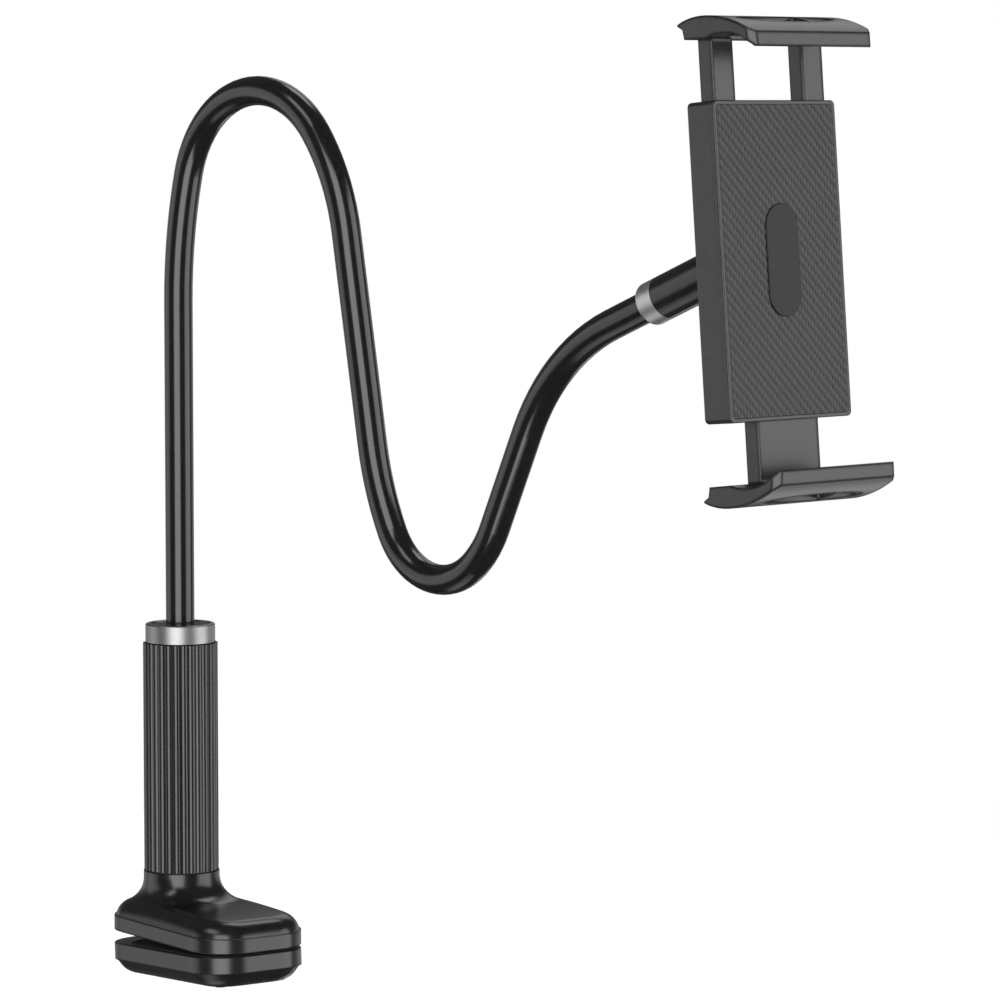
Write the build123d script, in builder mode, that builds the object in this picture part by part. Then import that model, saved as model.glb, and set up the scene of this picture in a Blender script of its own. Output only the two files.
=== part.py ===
from build123d import *
import os
from math import atan, cos, radians, sin

# Driving sizes in millimetres and degrees
JAW_YAW = -8.5          # jaws turn this far from the arm's plane
JAW_TOE = 66.4          # handle axis to the toe of the jaws
JAW_HEEL = 25.6         # handle axis to the heel of the jaws
JAW_WIDTH = 51.2
JAW_CORNER = 17.5
JAW_STEP = 0.7          # covers stand back from the bands
BAND_TOP = 6.5          # upper band's top above the gripping face
BOOT_TOP = 14.0         # crest of the upper cover
BOOT_FALL = 1.8         # crest to the cover's two ends
SHOE_LEAN = 20.0        # slope of the covers' sides
SHOE_ROUND = 8.4
NECK_R = 16.05
NECK_TOP = 25.6
GAP_HEEL = 6.0          # jaw gap at the heel, as it stands
GAP_TOE = 0.85          # jaw gap at the toe, as it stands
LOWER_BAND = 7.1
LOWER_SHELL = 6.2
SHELL_LEAN = 36.0
SHELL_ROUND = 8.6
PAD_RISE = 0.35
HANDLE_R = 15.8
HANDLE_HIGH = 122.5
RIDGES = 28
RIDGE_R = 1.95
COLUMN_R = 10.0
COLUMN_BORE = 7.0
COLLAR_R = 14.7
COLLAR_H = 8.2
ROD_R = 4.0
LUG_LOW = 88.0
LUG_HIGH = 98.0
JAW_TRAVEL = 50.0
ARM_R = 6.0
CORE_R = 4.0
ARM_SEAT = 18.7         # how deep the arm sits below the collar's top
BEND_START = 265.8      # height where the arm leaves its straight run
CROWN_R = 46.4          # first arch
FALL_RUN = 85.2         # straight run between the arches
DIP_R = 31.4            # second arch, turned over
CLIMB_RUN = 43.0
REACH_R = 86.8          # last bend, up to the cradle
REACH_RUN = 42.0
SLEEVE_R = 8.43
SLEEVE_BACK = 10.9      # sleeve's rear end behind the arm's end
SLEEVE_LEN = 37.9
RING_LEN = 8.5
BALL_R = 6.0
STEM_R = 2.5
BALL_AHEAD = 24.5       # ball centre ahead of the arm's end
BALL_BEHIND = 27.3      # ball centre behind the cradle's front
CRADLE_TILT = 4.8       # cradle leans back
BOX_W = 64.6
BOX_H = 116.9
BOX_T = 13.5
WALL = 2.2
COVER_T = 1.8
LEG_W = 10.9
LEG_BACK = -8.9
LEG_FRONT = -2.2
BADGE_LEN = 41.5
BADGE_WIDE = 16.9
CLAW_Y = 82.0           # groove of each claw from the cradle's centre
RIB_OFF = 9.0           # rib in each claw's pocket from the claw's middle
FIT = 0.05              # running fit
CLEAR = 0.3             # clearance between moving pieces

os.makedirs("parts", exist_ok=True)

# Frames of the jaws
yaw_x = cos(radians(JAW_YAW))
yaw_y = sin(radians(JAW_YAW))
jaw = Plane(origin=(0, 0, 0), x_dir=(yaw_x, yaw_y, 0), z_dir=(0, 0, 1))
jaw_len = JAW_TOE + JAW_HEEL
jaw_mid = (JAW_TOE - JAW_HEEL) / 2
tilt = atan((GAP_HEEL - GAP_TOE) / jaw_len)
drop = GAP_HEEL - (GAP_HEEL - GAP_TOE) * JAW_HEEL / jaw_len
low = Plane(
    origin=(0, 0, -drop),
    x_dir=(cos(tilt) * yaw_x, cos(tilt) * yaw_y, sin(tilt)),
    z_dir=(-sin(tilt) * yaw_x, -sin(tilt) * yaw_y, cos(tilt)),
)
low_axis = Axis(low.origin, low.z_dir)
shoe_len = jaw_len - 2 * JAW_STEP
shoe_wide = JAW_WIDTH - 2 * JAW_STEP
shoe_corner = JAW_CORNER - JAW_STEP
screw_y = JAW_WIDTH / 2 - 11.5
screw_spots = [
    (JAW_TOE - 12.5, screw_y),
    (JAW_TOE - 12.5, -screw_y),
    (12 - JAW_HEEL, screw_y),
    (12 - JAW_HEEL, -screw_y),
]

# Upper jaw cover: a soft shoe that flows up into a round neck
shoe_rise = BOOT_TOP - BAND_TOP
with BuildPart() as upper_jaw_cover:
    with BuildSketch(jaw.offset(BAND_TOP)):
        with Locations((jaw_mid, 0)):
            RectangleRounded(shoe_len, shoe_wide, shoe_corner)
    extrude(amount=shoe_rise, taper=SHOE_LEAN)
    with BuildSketch(Plane(jaw.origin, x_dir=jaw.x_dir, z_dir=-jaw.y_dir)):
        with BuildLine():
            ThreePointArc((JAW_TOE, BOOT_TOP - BOOT_FALL), (jaw_mid, BOOT_TOP), (-JAW_HEEL, BOOT_TOP - BOOT_FALL))
            Polyline((-JAW_HEEL, BOOT_TOP - BOOT_FALL), (-JAW_HEEL, 0), (JAW_TOE, 0), (JAW_TOE, BOOT_TOP - BOOT_FALL))
        make_face()
    extrude(amount=JAW_WIDTH, both=True, mode=Mode.INTERSECT)
    fillet(upper_jaw_cover.faces().sort_by(Axis.Z)[-1].edges(), SHOE_ROUND)
    with BuildSketch(jaw.offset(BAND_TOP)):
        Circle(NECK_R)
    extrude(amount=NECK_TOP - BAND_TOP)
    fillet(upper_jaw_cover.edges(Select.NEW), NECK_TOP - BOOT_TOP - 0.2)
    with BuildSketch(jaw.offset(BAND_TOP)):
        with Locations((jaw_mid, 0)):
            RectangleRounded(jaw_len - 11, JAW_WIDTH - 9, JAW_CORNER - 4.5)
        Circle(COLUMN_R + 3, mode=Mode.SUBTRACT)
        with Locations(*screw_spots):
            Circle(3.2, mode=Mode.SUBTRACT)
    extrude(amount=0.45 * shoe_rise, mode=Mode.SUBTRACT)
    with BuildSketch(jaw.offset(BAND_TOP)):
        Circle(COLUMN_R)
    extrude(amount=NECK_TOP, mode=Mode.SUBTRACT)
    with BuildSketch(jaw.offset(BAND_TOP)):
        with Locations(*screw_spots):
            Circle(1.25)
    extrude(amount=4.5, mode=Mode.SUBTRACT)

# Upper band with the gripping face, pocketed for its pad
with BuildPart() as upper_jaw_plate:
    with BuildSketch(jaw.offset(0.2)):
        with Locations((jaw_mid, 0)):
            RectangleRounded(jaw_len, JAW_WIDTH, JAW_CORNER)
        Circle(ROD_R + CLEAR, mode=Mode.SUBTRACT)
    extrude(amount=BAND_TOP - 0.2)
    fillet(upper_jaw_plate.faces().sort_by(Axis.Z)[-1].outer_wire().edges(), 0.4)
    with BuildSketch(jaw.offset(0.2)):
        with Locations((jaw_mid, 0)):
            RectangleRounded(jaw_len - 8, JAW_WIDTH - 8, JAW_CORNER - 4)
    extrude(amount=2, mode=Mode.SUBTRACT)
    with BuildSketch(jaw.offset(2.2)):
        with Locations(*screw_spots):
            Circle(2.6)
    extrude(amount=1.8, mode=Mode.SUBTRACT)
    with BuildSketch(jaw.offset(4)):
        with Locations(*screw_spots):
            Circle(1.25)
    extrude(amount=4, mode=Mode.SUBTRACT)

with BuildPart() as upper_pad:
    with BuildSketch(jaw):
        with Locations((jaw_mid, 0)):
            RectangleRounded(jaw_len - 8.2, JAW_WIDTH - 8.2, JAW_CORNER - 4.1)
        Circle(ROD_R + 0.6, mode=Mode.SUBTRACT)
    extrude(amount=2.2)

with BuildPart() as upper_jaw_screws:
    with BuildSketch(jaw.offset(2.2)):
        with Locations(*screw_spots):
            Circle(2.4)
    extrude(amount=1.8)
    with BuildSketch(jaw.offset(4)):
        with Locations(*screw_spots):
            Circle(1.25)
    extrude(amount=6.5)

# Fixed column, slotted for the carriage's lugs
handle_low = NECK_TOP + 0.6
collar_top = HANDLE_HIGH + COLLAR_H
arm_start = collar_top - ARM_SEAT
with BuildPart() as clamp_column:
    with BuildSketch(jaw.offset(BAND_TOP)):
        Circle(COLUMN_R)
        Circle(COLUMN_BORE, mode=Mode.SUBTRACT)
    extrude(amount=collar_top - 1.4 - BAND_TOP)
    with BuildSketch(jaw.offset(LUG_LOW - JAW_TRAVEL - 1)):
        Rectangle(2 * COLUMN_R + 2, 5)
    extrude(amount=JAW_TRAVEL + LUG_HIGH - LUG_LOW + 2, mode=Mode.SUBTRACT)

with BuildPart() as lower_washer:
    with BuildSketch(jaw.offset(NECK_TOP)):
        Circle(NECK_R - 1.4)
        Circle(COLUMN_R, mode=Mode.SUBTRACT)
    extrude(amount=handle_low - NECK_TOP - FIT)

# Ridged handle that turns on the column
with BuildPart() as handle:
    with BuildSketch(jaw.offset(handle_low)):
        Circle(HANDLE_R - RIDGE_R)
        with PolarLocations(HANDLE_R - RIDGE_R, RIDGES):
            Circle(RIDGE_R)
        Circle(COLUMN_R + FIT, mode=Mode.SUBTRACT)
    extrude(amount=HANDLE_HIGH - handle_low)
    with BuildSketch(jaw.offset(handle_low + 6)):
        Circle(COLUMN_R + 2.6)
        Circle(COLUMN_R - 1, mode=Mode.SUBTRACT)
    extrude(amount=LUG_HIGH - handle_low + 8, mode=Mode.SUBTRACT)

with BuildPart() as upper_washer:
    with BuildSketch(jaw.offset(HANDLE_HIGH + FIT)):
        Circle(COLLAR_R - 1.2)
        Circle(COLUMN_R, mode=Mode.SUBTRACT)
    extrude(amount=0.4)

# Bright collar and dark cap where the arm leaves the handle
collar_low = HANDLE_HIGH + FIT + 0.4
with BuildPart() as top_collar:
    with BuildSketch(jaw.offset(collar_low)):
        Circle(COLLAR_R)
        Circle(COLUMN_R, mode=Mode.SUBTRACT)
    extrude(amount=collar_top - collar_low)
    fillet(top_collar.edges().group_by(Axis.Z)[-1].sort_by(SortBy.RADIUS)[-1], 0.9)
    with BuildSketch(jaw.offset(collar_top - 1.4)):
        Circle(COLLAR_R - 1.8)
    extrude(amount=2, mode=Mode.SUBTRACT)

with BuildPart() as collar_cap:
    with BuildSketch(jaw.offset(collar_top - 1.4)):
        Circle(COLLAR_R - 1.8)
        Circle(ARM_R, mode=Mode.SUBTRACT)
    extrude(amount=1.0)

with BuildPart() as lower_ferrule:
    with BuildSketch(jaw.offset(arm_start - 2)):
        Circle(COLUMN_BORE)
    extrude(amount=collar_top - 1.4 - arm_start + 2)
    with BuildSketch(jaw.offset(arm_start)):
        Circle(ARM_R)
    extrude(amount=ARM_SEAT, mode=Mode.SUBTRACT)

# Carriage, pull rod and lower jaw that rise and fall together
with BuildPart() as drive_carriage:
    with BuildSketch(jaw.offset(LUG_LOW - 4)):
        Circle(COLUMN_BORE - FIT)
        Circle(ROD_R, mode=Mode.SUBTRACT)
    extrude(amount=LUG_HIGH - LUG_LOW + 12)
    with BuildSketch(jaw.offset(LUG_LOW)):
        Rectangle(2 * COLUMN_R + 4.4, 4.4)
        Circle(COLUMN_BORE - 2, mode=Mode.SUBTRACT)
    extrude(amount=LUG_HIGH - LUG_LOW)

with BuildPart() as pull_rod:
    with BuildSketch(jaw.offset(-drop - 4)):
        Circle(ROD_R)
    extrude(amount=LUG_HIGH + 6 + drop + 4)
    with BuildSketch(jaw.offset(-drop - 4)):
        Circle(2)
    extrude(amount=14, mode=Mode.SUBTRACT)

with BuildPart() as lower_jaw_plate:
    with BuildSketch(low):
        with Locations((jaw_mid, 0)):
            RectangleRounded(jaw_len, JAW_WIDTH, JAW_CORNER)
    extrude(amount=-LOWER_BAND)
    fillet(lower_jaw_plate.faces().sort_by(low_axis)[-1].edges(), 0.4)
    with BuildSketch(low):
        with Locations(((JAW_TOE - 15) / 2, 0)):
            RectangleRounded(JAW_TOE + 10.8, JAW_WIDTH - 4, JAW_CORNER - 2)
    extrude(amount=-1.2, mode=Mode.SUBTRACT)
    with BuildSketch(jaw.offset(-drop - 4)):
        Circle(ROD_R)
    extrude(amount=drop + 4, mode=Mode.SUBTRACT)
    with BuildSketch(jaw.offset(-drop - LOWER_BAND - 4)):
        Circle(2)
    extrude(amount=LOWER_BAND + 2, mode=Mode.SUBTRACT)
    with BuildSketch(jaw.offset(-drop - LOWER_BAND - 2)):
        Circle(4.5)
    extrude(amount=3, mode=Mode.SUBTRACT)
    with BuildSketch(low.offset(-LOWER_BAND)):
        with Locations(*screw_spots):
            Circle(1.25)
    extrude(amount=4, mode=Mode.SUBTRACT)

with BuildPart() as lower_pad:
    with BuildSketch(low.offset(-1.2)):
        with Locations(((JAW_TOE - 15) / 2, 0)):
            RectangleRounded(JAW_TOE + 10.6, JAW_WIDTH - 4.2, JAW_CORNER - 2.1)
    extrude(amount=1.2 + PAD_RISE)
    with BuildSketch(jaw.offset(-drop - 4)):
        Circle(ROD_R + 0.1)
    extrude(amount=drop + 8, mode=Mode.SUBTRACT)

with BuildPart() as rod_bolt:
    with BuildSketch(jaw.offset(-drop - LOWER_BAND - 2)):
        Circle(4.2)
    extrude(amount=3)
    with BuildSketch(jaw.offset(-drop - LOWER_BAND + 1)):
        Circle(2)
    extrude(amount=LOWER_BAND + 8)

with BuildPart() as lower_jaw_shell:
    with BuildSketch(low.offset(-LOWER_BAND)):
        with Locations((jaw_mid, 0)):
            RectangleRounded(shoe_len, shoe_wide, shoe_corner)
    extrude(amount=-LOWER_SHELL, taper=SHELL_LEAN)
    fillet(lower_jaw_shell.faces().sort_by(low_axis)[0].edges(), SHELL_ROUND)
    with BuildSketch(low.offset(-LOWER_BAND)):
        with Locations((jaw_mid, 0)):
            RectangleRounded(jaw_len - 10, JAW_WIDTH - 10, JAW_CORNER - 5)
        with Locations(*screw_spots):
            Circle(3.2, mode=Mode.SUBTRACT)
    extrude(amount=2.8 - LOWER_SHELL, mode=Mode.SUBTRACT)
    with BuildSketch(jaw.offset(-drop - LOWER_BAND - 2.2)):
        Circle(5)
    extrude(amount=4, mode=Mode.SUBTRACT)
    with BuildSketch(low.offset(-LOWER_BAND - LOWER_SHELL)):
        with Locations(*screw_spots):
            Circle(1.25)
    extrude(amount=LOWER_SHELL, mode=Mode.SUBTRACT)
    with BuildSketch(low.offset(-LOWER_BAND - LOWER_SHELL)):
        with Locations(*screw_spots):
            Circle(2.6)
    extrude(amount=1.8, mode=Mode.SUBTRACT)

with BuildPart() as lower_jaw_screws:
    with BuildSketch(low.offset(-LOWER_BAND - LOWER_SHELL)):
        with Locations(*screw_spots):
            Circle(2.4)
    extrude(amount=1.8)
    with BuildSketch(low.offset(-LOWER_BAND - LOWER_SHELL + 1.8)):
        with Locations(*screw_spots):
            Circle(1.25)
    extrude(amount=5.5)

# Path of the gooseneck: straight runs and tangent arcs in one upright plane
with BuildLine(Plane.XZ) as arm_path:
    rise = Line((0, arm_start), (0, BEND_START))
    lean = JernArc(rise @ 1, rise % 1, 209.3, -15.0)
    crown = JernArc(lean @ 1, lean % 1, CROWN_R, -125.5)
    fall = JernArc(crown @ 1, crown % 1, 88.7, -29.2)
    drop_run = Line(fall @ 1, (fall @ 1) + (fall % 1) * FALL_RUN)
    ease = JernArc(drop_run @ 1, drop_run % 1, 124.4, 17.2)
    dip = JernArc(ease @ 1, ease % 1, DIP_R, 102.8)
    lift = JernArc(dip @ 1, dip % 1, 45.0, 24.2)
    climb = Line(lift @ 1, (lift @ 1) + (lift % 1) * CLIMB_RUN)
    reach = JernArc(climb @ 1, climb % 1, REACH_R, -42.9)
    last = Line(reach @ 1, (reach @ 1) + (reach % 1) * REACH_RUN)

with BuildPart() as gooseneck_core:
    with BuildSketch(Plane.XY.offset(arm_start)):
        Circle(CORE_R)
    sweep(path=arm_path.wire())

with BuildPart() as gooseneck_sheath:
    with BuildSketch(Plane.XY.offset(arm_start)):
        Circle(ARM_R)
        Circle(CORE_R, mode=Mode.SUBTRACT)
    sweep(path=arm_path.wire())

# End of the arm: ferrule, bright ring and ball socket
end_dir = last % 1
end_at = last @ 1
end_frame = Plane(origin=end_at, x_dir=(0, 1, 0), z_dir=end_dir)
ball_at = end_at + end_dir * BALL_AHEAD

ring_back = SLEEVE_BACK + CLEAR + RING_LEN
with BuildPart() as end_ferrule:
    with BuildSketch(end_frame.offset(-ring_back)):
        Circle(ARM_R + 0.6)
    extrude(amount=ring_back + 2)
    with BuildSketch(end_frame.offset(-ring_back)):
        Circle(ARM_R)
    extrude(amount=ring_back, mode=Mode.SUBTRACT)

with BuildPart() as end_ring:
    with BuildSketch(end_frame.offset(-ring_back)):
        Circle(SLEEVE_R)
        Circle(ARM_R + 0.6, mode=Mode.SUBTRACT)
    extrude(amount=RING_LEN)
    fillet(end_ring.edges().group_by(Axis(end_at, end_dir))[0].sort_by(SortBy.RADIUS)[-1], 1.3)

with BuildPart() as socket_sleeve:
    with BuildSketch(end_frame.offset(-SLEEVE_BACK)):
        Circle(SLEEVE_R)
    extrude(amount=SLEEVE_LEN)
    fillet(socket_sleeve.edges().group_by(Axis(end_at, end_dir))[-1], 0.6)
    with BuildSketch(end_frame.offset(-SLEEVE_BACK)):
        Circle(ARM_R + 0.6 + FIT)
    extrude(amount=SLEEVE_BACK + 2.5, mode=Mode.SUBTRACT)
    with Locations(Plane(origin=ball_at, z_dir=end_dir)):
        Sphere(BALL_R + FIT, mode=Mode.SUBTRACT)

# Cradle frame: x across, y up, z out of the front
face = Vector(cos(radians(CRADLE_TILT)), 0, sin(radians(CRADLE_TILT)))
cradle = Plane(origin=ball_at + face * BALL_BEHIND, x_dir=(0, 1, 0), z_dir=face)
out_axis = Axis(cradle.origin, face)

with BuildPart() as ball_stud:
    with Locations(cradle.offset(-BALL_BEHIND)):
        Sphere(BALL_R)
    with BuildSketch(cradle.offset(-BALL_BEHIND)):
        Circle(STEM_R)
    extrude(amount=BALL_BEHIND - BOX_T - 1)
    with BuildSketch(cradle.offset(-BOX_T - CLEAR - 2.4)):
        Circle(9)
    extrude(amount=2.4)
    fillet(ball_stud.edges().filter_by(GeomType.CIRCLE).sort_by(SortBy.RADIUS)[-2:], 0.6)
    with BuildSketch(cradle.offset(-BOX_T - CLEAR)):
        Circle(3)
    extrude(amount=BOX_T + CLEAR - 9.2)

with BuildPart() as stud_clip:
    with BuildSketch(cradle.offset(WALL - BOX_T + CLEAR)):
        Circle(6)
        Circle(3, mode=Mode.SUBTRACT)
    extrude(amount=BOX_T - WALL - CLEAR - 9.2)

# Cradle box: rear housing, cover, patterned panel and bare badge
leg_x = BOX_W / 2 - 8.6
tongue_w = BOX_W / 2 - 0.3
screw_rise = BOX_H / 2 - 8.4
box_screws = [
    (leg_x + 1.7, -screw_rise),
    (-leg_x - 1.7, -screw_rise),
    (leg_x - 13.7, screw_rise),
    (13.7 - leg_x, screw_rise),
]
reel_spots = [(leg_x, -30), (-leg_x, -30), (0, 30)]
with BuildPart() as rear_housing:
    with BuildSketch(cradle.offset(-BOX_T)):
        RectangleRounded(BOX_W, BOX_H, 2)
    extrude(amount=BOX_T - COVER_T)
    fillet(rear_housing.faces().sort_by(out_axis)[0].edges(), 0.8)
    with BuildSketch(cradle.offset(WALL - BOX_T)):
        RectangleRounded(BOX_W - 2 * WALL, BOX_H - 2 * WALL, 1)
        with Locations(*box_screws):
            Circle(3, mode=Mode.SUBTRACT)
        with Locations(*reel_spots):
            Circle(1.5, mode=Mode.SUBTRACT)
    extrude(amount=BOX_T, mode=Mode.SUBTRACT)
    with BuildSketch(cradle.offset(LEG_BACK - CLEAR)):
        with Locations((leg_x, BOX_H / 2), (-leg_x, BOX_H / 2)):
            Rectangle(LEG_W + 2 * CLEAR, 3 * WALL)
        with Locations((0, -BOX_H / 2)):
            Rectangle(tongue_w + 2 * CLEAR, 3 * WALL)
    extrude(amount=BOX_T, mode=Mode.SUBTRACT)
    with BuildSketch(cradle.offset(-BOX_T)):
        Circle(3 + FIT)
        with Locations(*box_screws):
            Circle(1.1)
    extrude(amount=BOX_T, mode=Mode.SUBTRACT)
    with BuildSketch(cradle.offset(-BOX_T)):
        with Locations(*box_screws):
            Circle(2.2)
    extrude(amount=1.6, mode=Mode.SUBTRACT)

with BuildPart() as front_cover:
    with BuildSketch(cradle.offset(-COVER_T)):
        RectangleRounded(BOX_W, BOX_H, 2)
    extrude(amount=COVER_T)
    fillet(front_cover.faces().sort_by(out_axis)[-1].edges(), 0.5)
    with BuildSketch(cradle.offset(-0.6)):
        RectangleRounded(BOX_W - 3.2, BOX_H - 3.2, 1.2)
    extrude(amount=1, mode=Mode.SUBTRACT)

with BuildPart() as front_panel:
    with BuildSketch(cradle.offset(-0.6)):
        RectangleRounded(BOX_W - 3.3, BOX_H - 3.3, 1.15)
        SlotOverall(BADGE_LEN + 0.1, BADGE_WIDE + 0.1, rotation=90, mode=Mode.SUBTRACT)
    extrude(amount=0.5)

with BuildPart() as front_badge:
    with BuildSketch(cradle.offset(-0.6)):
        SlotOverall(BADGE_LEN, BADGE_WIDE, rotation=90)
    extrude(amount=1.0)
    fillet(front_badge.faces().sort_by(out_axis)[-1].edges(), 0.3)

with BuildPart() as housing_screws:
    with BuildSketch(cradle.offset(-BOX_T)):
        with Locations(*box_screws):
            Circle(2.1)
    extrude(amount=1.6)
    with BuildSketch(cradle.offset(1.6 - BOX_T)):
        with Locations(*box_screws):
            Circle(1.1)
    extrude(amount=BOX_T - 1.6 - COVER_T)

with BuildPart() as spring_reels:
    with BuildSketch(cradle.offset(WALL - BOX_T)):
        with Locations(*reel_spots):
            Circle(4.6)
        with Locations(*reel_spots):
            Circle(1.5, mode=Mode.SUBTRACT)
    extrude(amount=BOX_T - WALL - COVER_T - 0.5)

# Side outline of a claw: (forward of the cradle's front, outward of the groove)
HUMP = [(-15.7, 5.0), (-8.8, 6.9), (-2.8, 7.2), (6.2, 5.9), (14.2, 3.2), (20.4, -0.1)]
LIP = [(20.4, -0.1), (21.4, -0.7), (21.7, -5.6), (20.6, -6.0)]
PALM = [(20.6, -6.0), (15.4, -2.0), (11.0, -0.5), (5.4, 0.0), (0.7, -0.4), (-2.3, -1.2)]
HEEL = [(-2.3, -1.2), (-12.7, -0.8), (-13.5, 2.9), (-16.0, 4.4), (-15.7, 5.0)]
claw_w = BOX_W
lip_x = claw_w / 2
up = cradle.y_dir
side = Plane(origin=cradle.origin, x_dir=face, z_dir=(0, -1, 0)).offset(lip_x)
over = Plane(origin=cradle.origin, x_dir=(0, 1, 0), z_dir=up)
corner = [(lip_x + 1, -17.5), (lip_x - 3.6, -22.9), (lip_x + 1, -22.9)]
mirror_corner = [(-x, y) for x, y in corner]

# Upper claw: a forked slider with a hooked jaw
with BuildPart() as upper_claw:
    with BuildSketch(side):
        with BuildLine():
            Spline(*[(d, CLAW_Y + h) for d, h in HUMP])
            Polyline(*[(d, CLAW_Y + h) for d, h in LIP])
            Spline(*[(d, CLAW_Y + h) for d, h in PALM])
            Polyline(*[(d, CLAW_Y + h) for d, h in HEEL])
        make_face()
    extrude(amount=-claw_w)
    fillet(upper_claw.edges().filter_by(Axis.Y).sort_by(out_axis)[-2:], 0.35)
    with BuildSketch(over.offset(CLAW_Y - 10)):
        with BuildLine():
            Polyline(*corner, close=True)
        make_face()
        with BuildLine():
            Polyline(*mirror_corner, close=True)
        make_face()
    extrude(amount=20, mode=Mode.SUBTRACT)
    with BuildSketch(over.offset(CLAW_Y + 2.4)):
        with Locations((0, -7.6)):
            Ellipse(0.4 * claw_w, 4.6)
        with Locations((RIB_OFF, -7.6)):
            Rectangle(2, 10, mode=Mode.SUBTRACT)
    extrude(amount=10, mode=Mode.SUBTRACT)
    with BuildSketch(cradle.offset(LEG_BACK)):
        with Locations((leg_x, (CLAW_Y + 12) / 2), (-leg_x, (CLAW_Y + 12) / 2)):
            Rectangle(LEG_W, CLAW_Y - 8)
    extrude(amount=LEG_FRONT - LEG_BACK)
    with BuildSketch(over.offset(CLAW_Y + 1)):
        with Locations((0, -5)):
            Rectangle(claw_w - 16, 8)
    extrude(amount=-4, mode=Mode.SUBTRACT)

with BuildPart() as upper_claw_liner:
    with BuildSketch(over.offset(CLAW_Y + 1)):
        with Locations((0, -5)):
            RectangleRounded(claw_w - 16.1, 7.9, 1)
    extrude(amount=-1.5)

# Lower claw: a single tongue with the same jaw turned over
with BuildPart() as lower_claw:
    with BuildSketch(side):
        with BuildLine():
            Spline(*[(d, -CLAW_Y - h) for d, h in HUMP])
            Polyline(*[(d, -CLAW_Y - h) for d, h in LIP])
            Spline(*[(d, -CLAW_Y - h) for d, h in PALM])
            Polyline(*[(d, -CLAW_Y - h) for d, h in HEEL])
        make_face()
    extrude(amount=-claw_w)
    fillet(lower_claw.edges().filter_by(Axis.Y).sort_by(out_axis)[-2:], 0.35)
    with BuildSketch(over.offset(10 - CLAW_Y)):
        with BuildLine():
            Polyline(*corner, close=True)
        make_face()
        with BuildLine():
            Polyline(*mirror_corner, close=True)
        make_face()
    extrude(amount=-20, mode=Mode.SUBTRACT)
    with BuildSketch(over.offset(-CLAW_Y - 2.4)):
        with Locations((0, -7.6)):
            Ellipse(0.4 * claw_w, 4.6)
        with Locations((RIB_OFF, -7.6)):
            Rectangle(2, 10, mode=Mode.SUBTRACT)
    extrude(amount=-10, mode=Mode.SUBTRACT)
    with BuildSketch(cradle.offset(LEG_BACK)):
        with Locations((0, -(CLAW_Y + 12) / 2)):
            Rectangle(tongue_w, CLAW_Y - 8)
    extrude(amount=LEG_FRONT - LEG_BACK)
    with BuildSketch(over.offset(-CLAW_Y - 1)):
        with Locations((0, -5)):
            Rectangle(claw_w - 16, 8)
    extrude(amount=4, mode=Mode.SUBTRACT)

with BuildPart() as lower_claw_liner:
    with BuildSketch(over.offset(-CLAW_Y - 1)):
        with Locations((0, -5)):
            RectangleRounded(claw_w - 16.1, 7.9, 1)
    extrude(amount=1.5)

# One file for each piece
pieces = {
    "upper_jaw_cover": upper_jaw_cover,
    "upper_jaw_plate": upper_jaw_plate,
    "upper_pad": upper_pad,
    "upper_jaw_screws": upper_jaw_screws,
    "clamp_column": clamp_column,
    "lower_washer": lower_washer,
    "handle": handle,
    "upper_washer": upper_washer,
    "top_collar": top_collar,
    "collar_cap": collar_cap,
    "lower_ferrule": lower_ferrule,
    "drive_carriage": drive_carriage,
    "pull_rod": pull_rod,
    "lower_jaw_plate": lower_jaw_plate,
    "lower_pad": lower_pad,
    "rod_bolt": rod_bolt,
    "lower_jaw_shell": lower_jaw_shell,
    "lower_jaw_screws": lower_jaw_screws,
    "gooseneck_core": gooseneck_core,
    "gooseneck_sheath": gooseneck_sheath,
    "end_ferrule": end_ferrule,
    "end_ring": end_ring,
    "socket_sleeve": socket_sleeve,
    "ball_stud": ball_stud,
    "stud_clip": stud_clip,
    "rear_housing": rear_housing,
    "front_cover": front_cover,
    "front_panel": front_panel,
    "front_badge": front_badge,
    "housing_screws": housing_screws,
    "spring_reels": spring_reels,
    "upper_claw": upper_claw,
    "upper_claw_liner": upper_claw_liner,
    "lower_claw": lower_claw,
    "lower_claw_liner": lower_claw_liner,
}
for label, piece in pieces.items():
    piece.part.label = label
    export_step(piece.part, "parts/" + label + ".step")
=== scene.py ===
import math

import bpy
from mathutils import Matrix, Vector

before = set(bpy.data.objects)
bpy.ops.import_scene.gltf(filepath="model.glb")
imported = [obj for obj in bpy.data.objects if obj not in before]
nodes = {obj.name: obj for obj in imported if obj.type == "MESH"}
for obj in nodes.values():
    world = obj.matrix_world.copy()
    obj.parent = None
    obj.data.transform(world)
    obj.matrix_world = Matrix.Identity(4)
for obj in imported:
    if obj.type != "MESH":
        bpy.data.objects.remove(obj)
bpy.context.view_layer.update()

# Camera, worked back from the photo: its place in metres, its turn and dip, and a long lens
CAMERA_AT = Vector((1.5265, -1.2559, 0.3507))
CAMERA_TURN = math.radians(43.36)
CAMERA_DIP = math.radians(4.87)
LENS_MM = 169.2
SENSOR_MM = 36.0
CLIP_END = 20

# The studio as the object sees it: soft patches of light, by turn from the camera's side and by
# height, in degrees
# name: (turn, half width, height, half height, soft edge, radiance)
STUDIO = {
    "key": (-11, 22, 0, 40, 4, 4.45),
    "right": (77.5, 23, 0, 30, 4, 2.85),
    "left": (-96, 18, -4, 22, 6, 1.17),
    "left tail": (-135, 24, -4, 12, 8, 0.45),
    "back": (143, 24, -5, 14, 6, 0.6),
    "back high": (170, 14, 30, 11, 5, 0.9),
    "back low": (162, 9, -33, 6, 3, 1.3),
    "over left": (-54, 24, 53, 8, 4, 3.3),
    "over back": (160, 22, 58, 9, 4, 3.0),
    "low left": (-110, 48, -73, 15, 8, 1.0),
}
ROOM = 0.095            # radiance between the patches
WHITE = (1, 1, 1, 1)

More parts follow.
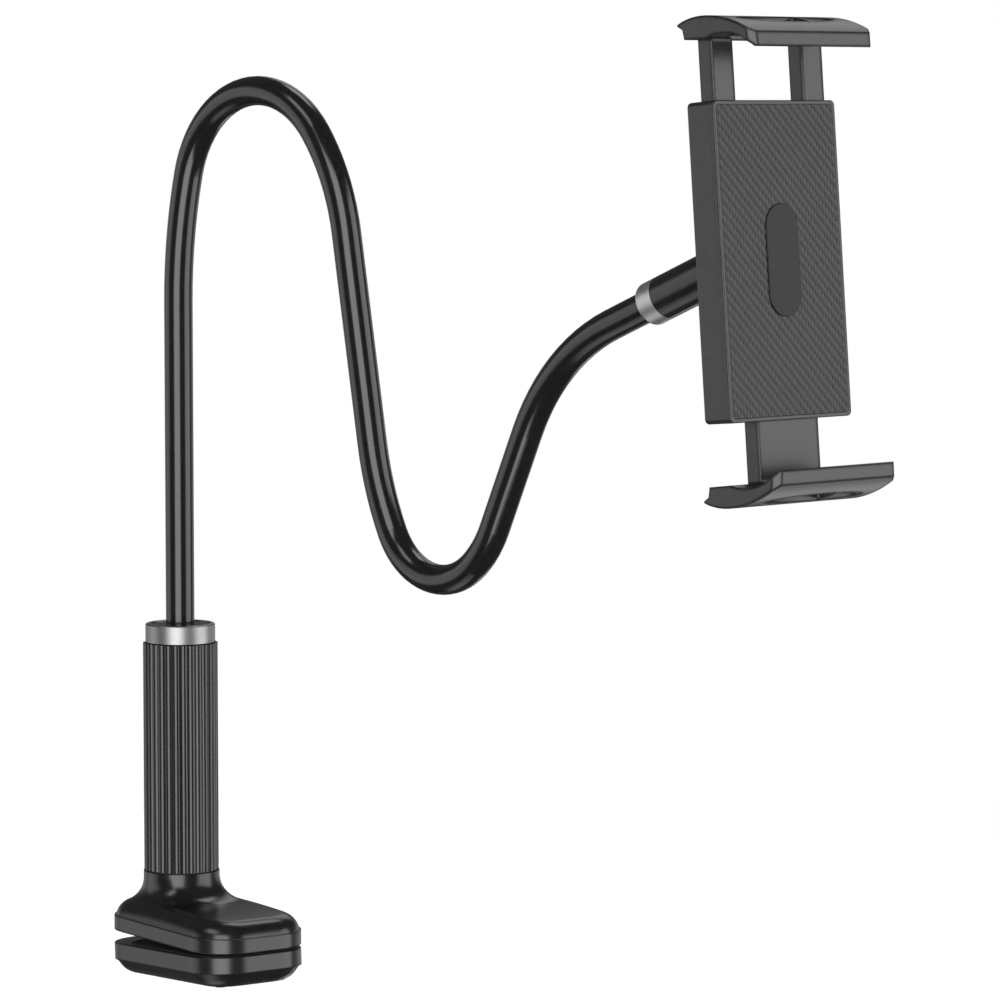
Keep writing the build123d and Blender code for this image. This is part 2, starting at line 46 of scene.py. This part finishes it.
# The clamp hangs on a desk's edge, so the floor lies below the lower jaw's lowest place: metres
FLOOR_AT = -0.072
FLOOR_REACH = 0.8
FLOOR_SIDES = 96
FLOOR_COLOUR = (0.8, 0.8, 0.8, 1)
FLOOR_LIFT = 0.56       # glow that brings the lit floor up to white

# Fine grain of every finish
GRAIN = 900.0
GRAIN_DETAIL = 3
GRAIN_DEEP = 0.0002
ROUGH_SPREAD = 0.06
RAMP = (0.3, 0.7)       # where the darker colour ends and the lighter one begins
EDGE_SAMPLES = 12

# Ribs of the front panel: slant, pitch and depth, and the weave that breaks them up. Over the
# panel's own dark colour, the rib troughs carry painted shade and the rib crests a painted
# highlight, copying the lighting of the ribs' relief
RIB_SLANT = math.radians(45)
RIB_PITCH = 0.00284
RIB_DEEP = 0.00014
# dark colour of the troughs with painted shade, and light colour of the crests with a painted
# highlight
RIB_TROUGH_WITH_PAINTED_SHADE = (0.003, 0.003, 0.0031)
RIB_CREST_WITH_PAINTED_HIGHLIGHT = (0.022, 0.022, 0.0223)
RIB_ROUGH = 0.36
RIB_SPECULAR = 0.36
WEAVE_PITCH = 0.0016
WEAVE_SHIFT = 1.3       # how far the weave shifts the ribs, in radians


def add_camera():
    data = bpy.data.cameras.new("camera")
    data.sensor_width = SENSOR_MM
    data.lens = LENS_MM
    data.clip_end = CLIP_END
    cam = bpy.data.objects.new("camera", data)
    bpy.context.scene.collection.objects.link(cam)
    toward = Vector((math.cos(CAMERA_TURN), -math.sin(CAMERA_TURN), 0))
    right = Vector((math.sin(CAMERA_TURN), math.cos(CAMERA_TURN), 0))
    back = toward * math.cos(CAMERA_DIP) + Vector((0, 0, math.sin(CAMERA_DIP)))
    up = back.cross(right)
    cam.matrix_world = Matrix((
        (right.x, up.x, back.x, CAMERA_AT.x),
        (right.y, up.y, back.y, CAMERA_AT.y),
        (right.z, up.z, back.z, CAMERA_AT.z),
        (0, 0, 0, 1),
    ))
    bpy.context.scene.camera = cam


def math_node(tree, operation, *values):
    """One math node on sockets or plain numbers."""
    node = tree.nodes.new("ShaderNodeMath")
    node.operation = operation
    for socket, value in zip(node.inputs, values):
        if isinstance(value, bpy.types.NodeSocket):
            tree.links.new(value, socket)
        else:
            socket.default_value = value
    return node.outputs[0]


def inside(tree, angle, middle, reach, soft):
    """1 within reach of the middle angle and 0 beyond it, with a soft edge."""
    away = math_node(tree, "SUBTRACT", angle, middle)
    away = math_node(tree, "WRAP", away, math.pi, -math.pi)
    edge = tree.nodes.new("ShaderNodeMapRange")
    edge.interpolation_type = "SMOOTHSTEP"
    edge.inputs["From Min"].default_value = reach + soft
    edge.inputs["From Max"].default_value = reach - soft
    tree.links.new(math_node(tree, "ABSOLUTE", away), edge.inputs["Value"])
    return edge.outputs["Result"]


def add_world():
    """White to the camera, and a studio of soft patches to the object."""
    world = bpy.data.worlds.new("studio")
    bpy.context.scene.world = world
    world.use_nodes = True
    tree = world.node_tree
    tree.nodes.clear()
    place = tree.nodes.new("ShaderNodeTexCoord")
    split = tree.nodes.new("ShaderNodeSeparateXYZ")
    tree.links.new(place.outputs["Generated"], split.inputs[0])
    turn = math_node(tree, "ARCTAN2", split.outputs["Y"], split.outputs["X"])
    turn = math_node(tree, "ADD", turn, CAMERA_TURN)
    height = math_node(tree, "ARCSINE", split.outputs["Z"])
    light = ROOM
    for *angles, radiance in STUDIO.values():
        at, wide, level, tall, soft = map(math.radians, angles)
        across = inside(tree, turn, at, wide, soft)
        upright = inside(tree, height, level, tall, soft)
        shape = math_node(tree, "MULTIPLY", across, upright)
        light = math_node(tree, "MULTIPLY_ADD", shape, radiance, light)
    studio = tree.nodes.new("ShaderNodeBackground")
    tree.links.new(light, studio.inputs["Strength"])
    white = tree.nodes.new("ShaderNodeBackground")
    for shade in (studio, white):
        shade.inputs["Color"].default_value = WHITE
    seen = tree.nodes.new("ShaderNodeLightPath").outputs
    straight = math_node(tree, "MAXIMUM", seen["Is Camera Ray"], seen["Is Transmission Ray"])
    mix = tree.nodes.new("ShaderNodeMixShader")
    out = tree.nodes.new("ShaderNodeOutputWorld")
    tree.links.new(straight, mix.inputs[0])
    tree.links.new(studio.outputs[0], mix.inputs[1])
    tree.links.new(white.outputs[0], mix.inputs[2])
    tree.links.new(mix.outputs[0], out.inputs[0])


def add_floor():
    """A plain white floor with the object's shadow, unseen by the object and open from below."""
    bpy.ops.mesh.primitive_circle_add(
        vertices=FLOOR_SIDES, radius=FLOOR_REACH, fill_type="NGON", location=(0, 0, FLOOR_AT))
    floor = bpy.context.object
    floor.name = "floor"
    floor.visible_diffuse = floor.visible_glossy = False
    floor.visible_transmission = floor.visible_shadow = False
    mat = bpy.data.materials.new("floor")
    mat.use_nodes = True
    tree = mat.node_tree
    tree.nodes.clear()
    plain = tree.nodes.new("ShaderNodeBsdfDiffuse")
    plain.inputs["Color"].default_value = FLOOR_COLOUR
    lift = tree.nodes.new("ShaderNodeEmission")
    lift.inputs["Strength"].default_value = FLOOR_LIFT
    lit = tree.nodes.new("ShaderNodeAddShader")
    clear = tree.nodes.new("ShaderNodeBsdfTransparent")
    side = tree.nodes.new("ShaderNodeNewGeometry")
    mix = tree.nodes.new("ShaderNodeMixShader")
    out = tree.nodes.new("ShaderNodeOutputMaterial")
    tree.links.new(plain.outputs[0], lit.inputs[0])
    tree.links.new(lift.outputs[0], lit.inputs[1])
    tree.links.new(side.outputs["Backfacing"], mix.inputs[0])
    tree.links.new(lit.outputs[0], mix.inputs[1])
    tree.links.new(clear.outputs[0], mix.inputs[2])
    tree.links.new(mix.outputs[0], out.inputs[0])
    floor.data.materials.append(mat)


class Finish:
    """A node material that is built up from parts on the object's own coordinates."""

    def __init__(self, name):
        self.material = bpy.data.materials.new(name)
        self.material.use_nodes = True
        self.tree = self.material.node_tree
        self.shader = self.tree.nodes["Principled BSDF"]
        self.place = self.tree.nodes.new("ShaderNodeTexCoord").outputs["Object"]

    def noise(self, grain):
        node = self.tree.nodes.new("ShaderNodeTexNoise")
        node.inputs["Scale"].default_value = grain
        node.inputs["Detail"].default_value = GRAIN_DETAIL
        self.tree.links.new(self.place, node.inputs["Vector"])
        return node.outputs["Fac"]

    def wave(self, direction, pitch, place):
        node = self.tree.nodes.new("ShaderNodeTexWave")
        node.bands_direction = direction
        node.inputs["Scale"].default_value = 2 * math.pi / (20 * pitch)
        self.tree.links.new(place, node.inputs["Vector"])
        return node

    def colour(self, pattern, dark, light):
        ramp = self.tree.nodes.new("ShaderNodeValToRGB")
        for stop, at, shade in zip(ramp.color_ramp.elements, RAMP, (dark, light)):
            stop.position = at
            stop.color = (*shade, 1)
        self.tree.links.new(pattern, ramp.inputs["Fac"])
        self.tree.links.new(ramp.outputs["Color"], self.shader.inputs["Base Color"])

    def rough(self, pattern, middle):
        node = self.tree.nodes.new("ShaderNodeMapRange")
        node.inputs["To Min"].default_value = middle * (1 - ROUGH_SPREAD)
        node.inputs["To Max"].default_value = middle * (1 + ROUGH_SPREAD)
        self.tree.links.new(pattern, node.inputs["Value"])
        self.tree.links.new(node.outputs["Result"], self.shader.inputs["Roughness"])

    def relief(self, pattern, strength, deep, edge=0.0):
        node = self.tree.nodes.new("ShaderNodeBump")
        node.inputs["Strength"].default_value = strength
        node.inputs["Distance"].default_value = deep
        if edge:
            rounded = self.tree.nodes.new("ShaderNodeBevel")
            rounded.samples = EDGE_SAMPLES
            rounded.inputs["Radius"].default_value = edge
            self.tree.links.new(rounded.outputs["Normal"], node.inputs["Normal"])
        self.tree.links.new(pattern, node.inputs["Height"])
        self.tree.links.new(node.outputs["Normal"], self.shader.inputs["Normal"])


def surface(name, colour, rough, grain=GRAIN, spread=0.25, bump=0.02, metal=0.0, specular=0.5,
            edge=0.0):
    """A moulded or turned finish: fine noise varies the colour, the roughness and the surface.

    An edge above 0 shades sharp corners as if rounded by that radius.
    """
    finish = Finish(name)
    finish.shader.inputs["Metallic"].default_value = metal
    finish.shader.inputs["Specular IOR Level"].default_value = specular
    noise = finish.noise(grain)
    dark = [c * (1 - spread) for c in colour]
    light = [c * (1 + spread) for c in colour]
    finish.colour(noise, dark, light)
    finish.rough(noise, rough)
    finish.relief(noise, bump, GRAIN_DEEP, edge)
    return finish.material


def woven(name):
    """The front panel's woven look: fine slanting ribs, with a painted highlight on their crests
    and painted shade in their troughs.
    """
    finish = Finish(name)
    finish.shader.inputs["Specular IOR Level"].default_value = RIB_SPECULAR
    slant = finish.tree.nodes.new("ShaderNodeMapping")
    slant.inputs["Rotation"].default_value = (RIB_SLANT, 0, 0)
    finish.tree.links.new(finish.place, slant.inputs["Vector"])
    ribs = finish.wave("Z", RIB_PITCH, slant.outputs["Vector"])
    weave = finish.wave("Y", WEAVE_PITCH, finish.place)
    shift = math_node(finish.tree, "MULTIPLY", weave.outputs["Fac"], WEAVE_SHIFT)
    finish.tree.links.new(shift, ribs.inputs["Phase Offset"])
    # the ribs' relief is painted into the colour as well: painted shade in the troughs, painted
    # highlight on the crests
    finish.colour(ribs.outputs["Fac"], RIB_TROUGH_WITH_PAINTED_SHADE, RIB_CREST_WITH_PAINTED_HIGHLIGHT)
    finish.rough(finish.noise(GRAIN), RIB_ROUGH)
    finish.relief(ribs.outputs["Fac"], 1.0, RIB_DEEP)
    return finish.material


def dress(material, *names):
    for name in names:
        mesh = nodes[name].data
        mesh.materials.clear()
        mesh.materials.append(material)


add_camera()
add_world()
add_floor()

# Plastics and rubber
GLOSS = (0.006, 0.006, 0.0061)
SATIN = (0.007, 0.007, 0.0071)
dress(surface("gloss black", GLOSS, 0.23, grain=200, bump=0.003),
      "upper_jaw_cover", "lower_jaw_shell", "collar_cap")
dress(surface("arm skin", GLOSS, 0.16, grain=500, bump=0.004), "gooseneck_sheath")
dress(surface("satin black", SATIN, 0.2, grain=250, bump=0.002),
      "handle", "drive_carriage", "socket_sleeve")
dress(surface("band black", SATIN, 0.26, bump=0.004, edge=0.0012),
      "upper_jaw_plate", "lower_jaw_plate")
dress(surface("box black", (0.012, 0.012, 0.0121), 0.3, grain=300, bump=0.004, edge=0.0008),
      "rear_housing", "front_cover")
dress(surface("claw black", (0.01, 0.01, 0.0101), 0.28, grain=300, bump=0.004, edge=0.0022),
      "upper_claw", "lower_claw")
dress(woven("woven panel"), "front_panel")
dress(surface("badge", (0.008, 0.008, 0.0081), 0.34, grain=300, bump=0.004, specular=0.2),
      "front_badge")
dress(surface("rubber", (0.01, 0.01, 0.01), 0.75, bump=0.06),
      "lower_washer", "upper_washer", "upper_pad", "lower_pad",
      "upper_claw_liner", "lower_claw_liner")

# Metals
dress(surface("satin silver", (0.25, 0.25, 0.254), 0.4, grain=300, spread=0.06, metal=1.0,
              bump=0.01), "top_collar")
dress(surface("ring silver", (0.5, 0.5, 0.505), 0.42, grain=300, spread=0.06, metal=1.0,
              bump=0.01), "end_ring")
dress(surface("black steel", (0.02, 0.02, 0.0205), 0.35, spread=0.08, metal=1.0),
      "upper_jaw_screws", "lower_jaw_screws")
dress(surface("plain steel", (0.42, 0.42, 0.43), 0.35, spread=0.08, metal=1.0),
      "rod_bolt", "pull_rod", "housing_screws", "spring_reels", "gooseneck_core", "ball_stud",
      "stud_clip", "clamp_column")
dress(surface("brass", (0.6, 0.44, 0.2), 0.35, spread=0.08, metal=1.0),
      "lower_ferrule", "end_ferrule")

bpy.context.scene.view_settings.view_transform = "Standard"
